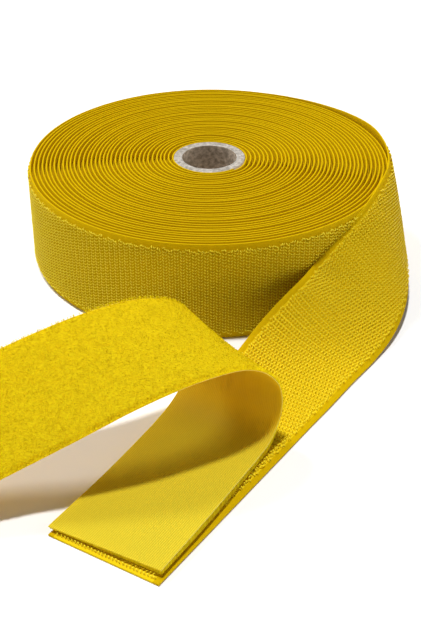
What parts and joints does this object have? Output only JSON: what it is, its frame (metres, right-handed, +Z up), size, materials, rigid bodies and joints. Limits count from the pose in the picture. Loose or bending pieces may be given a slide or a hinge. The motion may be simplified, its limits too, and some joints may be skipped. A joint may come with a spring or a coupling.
{
  "type": "hook and loop tape roll",
  "caption": "Roll of woven hook tape on a paper core, its tail lying off the roll with a strip of loop tape pressed on and folded back, for closing and fastening things.",
  "frame": {"origin": "middle of the underside of the whole part's box, on the surface that it lies on", "axes": "+Z up, along the roll's axis; +Y from the tail's cut end towards the back of the roll; +X to the right in the picture"},
  "size_m": [0.2552, 0.3446, 0.0588],
  "materials": {
    "core_paper": "matte wound paper",
    "hook_ground": "woven nylon",
    "hook_field": "cut nylon hooks",
    "loop_ground": "ribbed woven back",
    "loop_pile": "brushed loops"
  },
  "bodies": {
    "roll": {"core_inner_ply": "core_paper", "core_middle_ply": "core_paper", "core_outer_ply": "core_paper", "winding_ground": "hook_ground", "winding_hooks": "hook_field"},
    "tail": {"tail_ground": "hook_ground", "tail_hooks": "hook_field"},
    "mated_leg": {"mated_leg_ground": "loop_ground", "mated_leg_pile": "loop_pile"},
    "free_leg": {"free_leg_ground": "loop_ground", "free_leg_pile": "loop_pile"}
  },
  "joints": [
    {"name": "tail_swing", "type": "hinge", "parent": "roll", "child": "tail", "pos_m": [0.12146, 0.08049, 0.025], "axis": [0, 0, 1], "range_deg": [0, 20]},
    {"name": "loop_lift", "type": "slide", "parent": "tail", "child": "mated_leg", "axis": [0, 0, 1], "range_m": [0, 0.05]},
    {"name": "loop_fold", "type": "hinge", "parent": "mated_leg", "child": "free_leg", "pos_m": [0.04031, -0.07066, 0.02424], "axis": [-0.7164, 0.6859, -0.1277], "range_deg": [0, 75]}
  ]
}
